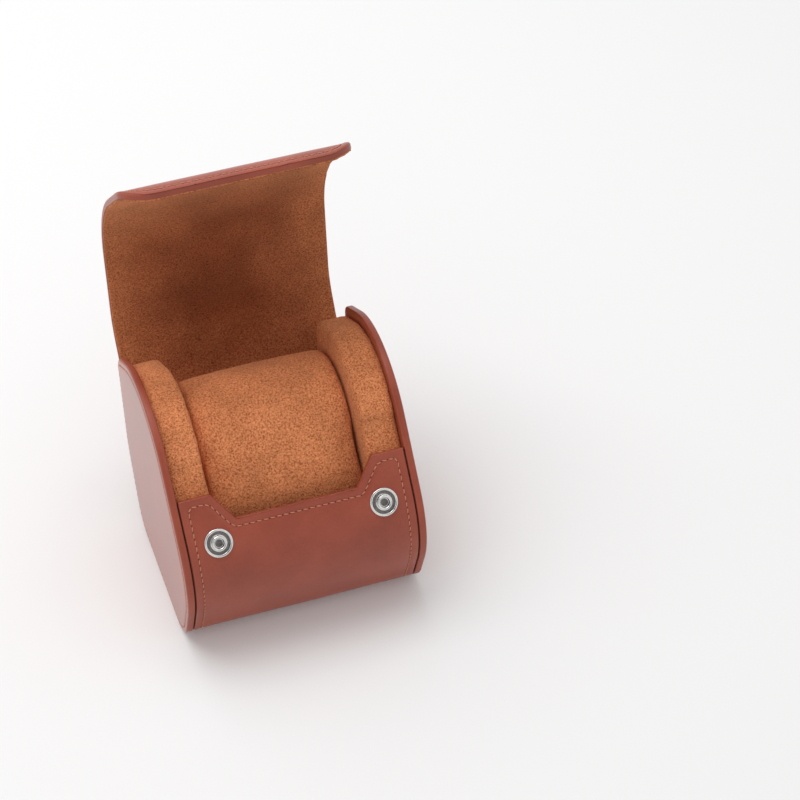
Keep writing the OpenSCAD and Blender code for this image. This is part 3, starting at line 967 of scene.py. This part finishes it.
def lipRow():
    # down the left side, round the lip and up the right side
    r = leatherCut["lipRound"] - seam["flapInset"]
    x, end, start = flapRowHalf, lipAt - seam["flapInset"], topMiddle + 1.5
    arc = [(r * math.cos(math.radians(a)), r * math.sin(math.radians(a)))
           for a in range(0, 91, 10)]
    return ([Vector((-x, start))]
            + [Vector((-(x - r) - cosine, end - r + sine)) for cosine, sine in arc]
            + [Vector((x - r + sine, end - r + cosine)) for cosine, sine in arc]
            + [Vector((x, start))])


wrapStitches = seamPiece("wrapStitches", sewRow(wrapSeam), wrapRelief)
backStitches = seamPiece("backStitches", sideMarks(hingeAt + 1.5, backMiddle - 1), flapRelief)
creaseStitches = seamPiece("creaseStitches", sideMarks(backMiddle + 1, topMiddle - 1), flapRelief)
lipStitches = seamPiece("lipStitches", sewRow(lipRow()), flapRelief)
print("seams sewn")


# ---- material slots of the sheet, the CAD parts it replaces, and its baked transforms ----

hingeReach = (0, 0.75, 0.66)    # up and back


def bendPoint(u):
    y, z, a = station(u)
    return Vector((0, y, z)) * mm


def bendAcross(obj, bodyA, bodyB, crease, half):
    start, end = bendPoint(crease - half), bendPoint(crease + half)
    if bodyA == "case":
        middle, reach = (start + end) / 2, Vector(hingeReach) * half * mm
        start, end = middle - reach, middle + reach
    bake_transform(obj)


for obj, crease, replaced in (
        (wrapLeather, "hinge", ("outer_wrap", "flap_back_leather")),
        (creaseLeather, "back", ("flap_top_leather",)),
        (lipLeather, "front", ("flap_lip_leather",))):
    finishPiece(obj, leatherSheet, None, replaced)
    bendAcross(obj, *creases[crease])
notchArea = (leatherCut["tabInner"] + leatherCut["notchInner"]) * leatherCut["notchDeep"]
cornerArea = (2 - math.pi / 2) * liningRound ** 2
for obj, crease, replaced, long, cutOff, leather in (
        (caseLining, "hinge", ("wrap_lining", "flap_back_lining"),
         backMiddle - liningCut["edge"], notchArea, wrapLeather),
        (creaseLining, "back", ("flap_top_lining",), topMiddle - backMiddle, 0, creaseLeather),
        (lipLining, "front", ("flap_lip_lining",), liningEnd - topMiddle, cornerArea, lipLeather)):
    finishPiece(obj, suedeSheet, None, replaced)
    bendAcross(obj, *creases[crease])
for obj, crease in ((wrapStitches, "hinge"), (backStitches, "hinge"),
                    (creaseStitches, "back"), (lipStitches, "front")):
    bendAcross(obj, *creases[crease])


# ---- end panels ----

endPanel = {
    "thick": 2.66,
    "rim": 0.8,
    "innerRim": 0.4,
    "crown": 0.3,
    "seamAt": 1.1,          # inside the rounded rim
    "seamDeep": 0.2,
    "seamWidth": 0.35,
    "rings": (0.2, 0.5, 0.75, 0.95, 1.1, 1.25, 1.45, 1.7, 2.1, 2.8, 3.6, 4.6),
    "flatSide": 0.75,       # faces that look less to the side than this have the rim's leather
}


def panelFace(w):
    # height of the crowned outer face over the panel's plane, w inside its rounded rim
    off = (w - endPanel["seamAt"]) / endPanel["seamWidth"]
    seamDip = endPanel["seamDeep"] * math.exp(-off ** 2)
    return endPanel["crown"] * (1 - math.exp(-w / 2)) - seamDip


def profileOutline(circles, inset=0.0):
    outline = []
    for p in beltRun(circles):
        c = circles[p[4]]
        r = max(c[2] - inset, 0.3)
        outline.append((c[0] + r * math.cos(p[3]), c[1] + r * math.sin(p[3])))
    return outline


def ringAt(circles, inset, x):
    return [(x, y, z) for y, z in profileOutline(circles, inset)]


def facedOut(obj):
    pick(obj, "FACE", lambda c, n: True)
    bpy.ops.mesh.normals_make_consistent(inside=False)
    selectOnly(obj)
    return obj


def loftRings(name, rings):
    count = len(rings[0])
    points = [Vector(p) * mm for ring in rings for p in ring]
    faces = [tuple(range(count - 1, -1, -1))]
    for j in range(len(rings) - 1):
        for i in range(count):
            n = (i + 1) % count
            low, high = j * count, (j + 1) * count
            faces.append((low + i, low + n, high + n, high + i))
    faces.append(tuple((len(rings) - 1) * count + i for i in range(count)))
    return facedOut(newMesh(name, points, faces))


def endCover(name, side):
    # rings of the side profile from the inner face over the rounded rim to the crowned outer face
    outer = caseSide["halfWidth"]
    inner = outer - endPanel["thick"]
    r, q = endPanel["rim"], endPanel["innerRim"]
    steps = [(5.0, inner)]
    steps += [(q * sine, inner + q * cosine) for cosine, sine in quarterTurn(30)]
    steps += [(r * cosine, outer - r * sine) for cosine, sine in quarterTurn(15)]
    steps += [(r + w, outer + panelFace(w)) for w in endPanel["rings"]]
    obj = loftRings(name, [ringAt(panelCircles, inset, x * side) for inset, x in steps])
    smoothFaces(obj, 30)
    finishPiece(obj, leatherPanel, "case")
    obj.data.materials.append(leatherRim)
    for face in obj.data.polygons:
        face.material_index = int(abs(face.normal.x) < endPanel["flatSide"])
    return obj


def panelStitches(name, side):
    row = [Vector(p) for p in profileOutline(panelCircles, endPanel["rim"] + endPanel["seamAt"])]
    obj = seamPiece(name, sewRow(row + row[:1]), lambda y, z: panelFace(endPanel["seamAt"]) - 0.06,
                    lambda p: Vector((side * (caseSide["halfWidth"] + p[2]), p[0], p[1])) * mm)
    if side < 0:
        obj.data.flip_normals()     # the flat points were mirrored
    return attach(obj, "case")


for side, sideName in sides:
    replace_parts(endCover(sideName + "EndCover", side), sideName + "_end_cover")
    panelStitches(sideName + "PanelStitches", side)
print("end panels made")


# ---- padded pieces ----

padLook = {"voxel": 1.5, "pressure": 4.0, "frames": 20, "cap": 0.7, "pile": 0.2}


def inflate(obj):
    # the cover swells over its filling: pressure from inside, no gravity, capped travel
    rest = [vertex.co.copy() for vertex in obj.data.vertices]
    selectOnly(obj)
    cloth = obj.modifiers.new("Cloth", "CLOTH")
    cloth.settings.use_pressure = True
    cloth.settings.uniform_pressure_force = padLook["pressure"]
    cloth.settings.effector_weights.gravity = 0
    for number in range(1, padLook["frames"] + 1):
        bpy.context.scene.frame_set(number)
    bpy.ops.object.modifier_apply(modifier=cloth.name)
    bpy.context.scene.frame_set(1)
    travels = []
    for vertex, start in zip(obj.data.vertices, rest):
        travel = vertex.co - start
        travels.append(travel.length)
        vertex.co = start + travel * min(1.0, padLook["cap"] * mm / max(travel.length, 1e-9))
    print(obj.name, "swelled by up to", round(max(travels) / mm, 2), "mm before the cap")


def upholster(obj, pile):
    # an even mesh, swollen by its filling, softened, with a pile
    useModifier(obj, "REMESH", mode="VOXEL", voxel_size=padLook["voxel"] * mm)
    inflate(obj)
    useModifier(obj, "SMOOTH", factor=0.5, iterations=2)
    useModifier(obj, "SUBSURF", levels=1, render_levels=1)
    pileOn(obj, pile)
    smoothFaces(obj, 80)


def pileOn(obj, depth):
    mesh = obj.data
    normals = [vertex.normal.copy() for vertex in mesh.vertices]
    for vertex, normal in zip(mesh.vertices, normals):
        p = vertex.co / mm
        amount = 0.6 * softNoise(*p, 1.7, 2.3) + 0.4 * softNoise(*p, 0.9, 7.1)
        vertex.co += normal * amount * depth * mm
    mesh.update()


bolsterForm = {
    "thick": 12.2,
    "edge": 1.9,
    "wallAt": 41.3,         # inner face of the end panel, across
    "foot": 41.9,           # and how far the bolster reaches into it
    "under": 3.7,
    "raised": 1.0,
}
panelBack = min(p[0] for p in beltRun(panelCircles) if p[4] == 5)


def bolsterRing(inset, x):
    # stands higher where neither the wrap nor the flap's back leaf covers it
    ring = []
    for distance, y, z, a, i in beltRun(panelCircles):
        if distance < tabStart:
            free = clamp((tabStart - 0.8 - distance) / 2)
        else:
            free = clamp((distance - panelBack + 4) / 4)
        c = panelCircles[i]
        r = max(c[2] - inset + bolsterForm["raised"] * free, 0.3)
        ring.append((x, c[0] + r * math.cos(a), c[1] + r * math.sin(a)))
    return ring


def bolster(name, side):
    r, foot = bolsterForm["edge"], bolsterForm["foot"]
    t = bolsterForm["thick"] + foot - bolsterForm["wallAt"]
    steps = [(0, 0), (0, 2), (0, 6)]
    steps += [(r * cosine, t - r * sine) for cosine, sine in quarterTurn(15)]
    steps += [(r + 2, t + 0.1), (r + 6, t + 0.2)]
    obj = loftRings(name, [bolsterRing(bolsterForm["under"] + inset, (foot - depth) * side)
                           for inset, depth in steps])
    upholster(obj, padLook["pile"])
    finishPiece(obj, suedePad, "case")
    return obj


for side, sideName in sides:
    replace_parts(bolster(sideName + "Bolster", side), sideName + "_bolster")
print("bolsters made")

cushionForm = {
    "half": 27.8,
    "low": (0.8, 33.4, 29.2),
    "top": (8.6, 48.0, 25.9),
    "edge": 3.4,
    "crown": 0.7,
    "steps": 28,            # rings across
}


def cushion():
    half, edge, steps = cushionForm["half"], cushionForm["edge"], cushionForm["steps"]
    circles = [cushionForm["low"], cushionForm["top"]]
    rings = []
    for k in range(steps + 1):
        x = half * math.sin(math.pi / 2 * (2 * k / steps - 1))
        over = max(0.0, abs(x) - half + edge) / edge
        inset = cushionForm["crown"] * (x / half) ** 2
        inset += edge * (1 - math.sqrt(max(0, 1 - over * over)))
        rings.append(ringAt(circles, inset, x))
    obj = loftRings("cushion", rings)
    upholster(obj, padLook["pile"])
    finishPiece(obj, suedePad, "cushion", ("cushion_cover",))
    return obj


cushion()
print("cushion made")


# ---- snaps ----

snapForm = {
    "across": 30.0,
    "along": 17.0,          # below the tab tops
    # stud: radius, height over the leather, in mm
    "stud": [(5.1, -0.25), (5.1, 0.35), (5.02, 0.55), (4.85, 0.68), (4.6, 0.72), (4.35, 0.66),
             (4.15, 0.5), (4.0, 0.34), (3.6, 0.28), (3.2, 0.34), (3.05, 0.5), (2.95, 0.62),
             (2.78, 0.66), (2.62, 0.7), (2.5, 0.95), (2.47, 1.25), (2.54, 1.5), (2.56, 1.64),
             (2.5, 1.76), (2.34, 1.82), (2.1, 1.8), (1.9, 1.72), (1.76, 1.56), (1.68, 1.3),
             (1.64, 0.3), (1.5, 0.12), (1.1, 0.05), (0.0, 0.05)],
    "hole": 1.72,           # radii with painted shade in the hole and a painted dark reflection in the groove
    "groove": (2.98, 4.1),
}


def turned(name, profile, steps=72):
    # a profile spun round the snap's axis
    points = [(r * mm, 0, h * mm) for r, h in profile]
    obj = newMesh(name, points, [], [(i, i + 1) for i in range(len(points) - 1)])
    useModifier(obj, "SCREW", angle=2 * math.pi, steps=steps, render_steps=steps, screw_offset=0,
                use_merge_vertices=True, merge_threshold=1e-5)
    return facedOut(obj)


def onLeather(x, u):
    # frame on the leather's face: Z out of it
    y, z, a = station(u)
    up = Vector((0, math.sin(a), -math.cos(a)))
    out = Vector((0, math.cos(a), math.sin(a)))
    matrix = Matrix((up.cross(out), up, out)).transposed().to_4x4()
    matrix.translation = Vector((x, y, z)) * mm
    return matrix


for side, sideName in sides:
    stud = turned(sideName + "Stud", snapForm["stud"])
    radii = [math.hypot(face.center.x, face.center.y) / mm for face in stud.data.polygons]
    stud.data.transform(onLeather(snapForm["across"] * side, snapForm["along"]))
    smoothFaces(stud, 50)
    finishPiece(stud, nickel, "case")
    stud.data.materials.append(paintedShadeNickel)      # painted dark reflection in the groove and painted shade down the hole
    for face, radius in zip(stud.data.polygons, radii):
        inGroove = snapForm["groove"][0] < radius < snapForm["groove"][1]
        face.material_index = int(radius < snapForm["hole"] or inGroove)
    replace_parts(stud, sideName + "_stud")
print("snaps made")


# ---- the CAD pieces that stay ----

for name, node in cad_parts.items():
    if "stud" in name or "socket" in name:
        look = nickel
    elif name == "wrap_board":
        look = dyedBoard
    elif name.endswith("board"):
        look = greyBoard
    elif name == "cushion_core":
        look = fillingFoam
    elif "lining" in name or "bolster" in name or name == "cushion_cover":
        look = suedePad
    else:
        look = leatherPanel
    for slotIndex in range(len(node.material_slots)):
        node.material_slots[slotIndex].material = look


# ---- floor, light and camera ----

studio = {
    "floor": (0.90, 0.90, 0.90),
    "glow": 0.04,           # lifts the paper to white for camera and gloss only
    "world": 0.6,
    "key": 5.8,
    "fill": 0.5,
    "aim": (0, 0, 0.05),
    "card": (-0.3, -1.0, 1.35),
}


def seenOrMirrored(tree):
    # 1 for what the camera or a gloss sees, 0 for the light that is shed
    path = addNode(tree, "LightPath")
    either = addNode(tree, "Math", operation="MAXIMUM")
    tree.links.new(path.outputs["Is Camera Ray"], either.inputs[0])
    tree.links.new(path.outputs["Is Glossy Ray"], either.inputs[1])
    return either.outputs[0]


bpy.ops.mesh.primitive_plane_add(size=6, location=(0, 0, -0.0001))
floor = bpy.context.object
floor.name = "floor"
floorPaper, floorTree, floorShader = makeMaterial("floorPaper")
setInputs(floorShader, {"Base Color": (*studio["floor"], 1), "Roughness": 0.9,
                        "Specular IOR Level": 0.1, "Emission Color": (1, 1, 1, 1)})
glow = addNode(floorTree, "Math", operation="MULTIPLY")
glow.inputs[1].default_value = studio["glow"]
floorTree.links.new(seenOrMirrored(floorTree), glow.inputs[0])
floorTree.links.new(glow.outputs[0], floorShader.inputs["Emission Strength"])
floor.data.materials.append(floorPaper)

world = bpy.data.worlds.new("studio")
bpy.context.scene.world = world
world.use_nodes = True
sky = world.node_tree.nodes["Background"]
sky.inputs["Color"].default_value = (1, 1, 1, 1)
level = addNode(world.node_tree, "MapRange", **{"To Min": studio["world"], "To Max": 1.0})
world.node_tree.links.new(seenOrMirrored(world.node_tree), level.inputs["Value"])
world.node_tree.links.new(level.outputs["Result"], sky.inputs["Strength"])


def softLamp(name, location, size, power):
    data = bpy.data.lights.new(name, "AREA")
    data.shape = "SQUARE"
    data.size = size
    data.energy = power
    lamp = intoScene(name, data)
    lamp.location = location
    lamp.rotation_mode = "QUATERNION"
    aim = Vector(studio["aim"]) - Vector(location)
    lamp.rotation_quaternion = aim.to_track_quat("-Z", "Y")
    return lamp


softLamp("keyLamp", (-0.2, 0.3, 1.0), 0.8, studio["key"])
softLamp("fillLamp", (-0.7, -0.5, 0.7), 0.8, studio["fill"])

# a dark card over the camera, which only the gloss of leather and nickel picks up
bpy.ops.mesh.primitive_plane_add(size=1.3, location=(0, 0, 0))
card = bpy.context.object
card.name = "darkCard"
cardPlace = Vector(studio["card"])
cardTurn = (-cardPlace).to_track_quat("-Z", "Y").to_matrix().to_4x4()
card.data.transform(Matrix.Translation(cardPlace) @ cardTurn)
cardPaper, cardTree, cardShader = makeMaterial("cardPaper")
setInputs(cardShader, {"Base Color": (0.03, 0.03, 0.03, 1), "Roughness": 1.0})
card.data.materials.append(cardPaper)
card.visible_camera = card.visible_diffuse = card.visible_shadow = False

cameraView = {
    "place": (-0.184552, -0.677023, 0.830475),
    "down": 47.1617,        # degrees below the horizon
    "turn": -18.9897,
    "roll": 0.6116,
    "lens": 132.757,
}
cameraData = bpy.data.cameras.new("camera")
cameraData.lens = cameraView["lens"]
cameraData.sensor_width = 36
cameraData.clip_start, cameraData.clip_end = 0.01, 20
camera = intoScene("camera", cameraData)
turnMatrix = (Matrix.Rotation(math.radians(cameraView["turn"]), 3, "Z")
              @ Matrix.Rotation(math.radians(90 - cameraView["down"]), 3, "X")
              @ Matrix.Rotation(math.radians(cameraView["roll"]), 3, "Z"))
camera.rotation_mode = "QUATERNION"
camera.rotation_quaternion = turnMatrix.to_quaternion()
camera.location = cameraView["place"]
bpy.context.scene.camera = camera
bpy.context.scene.view_settings.view_transform = "Standard"
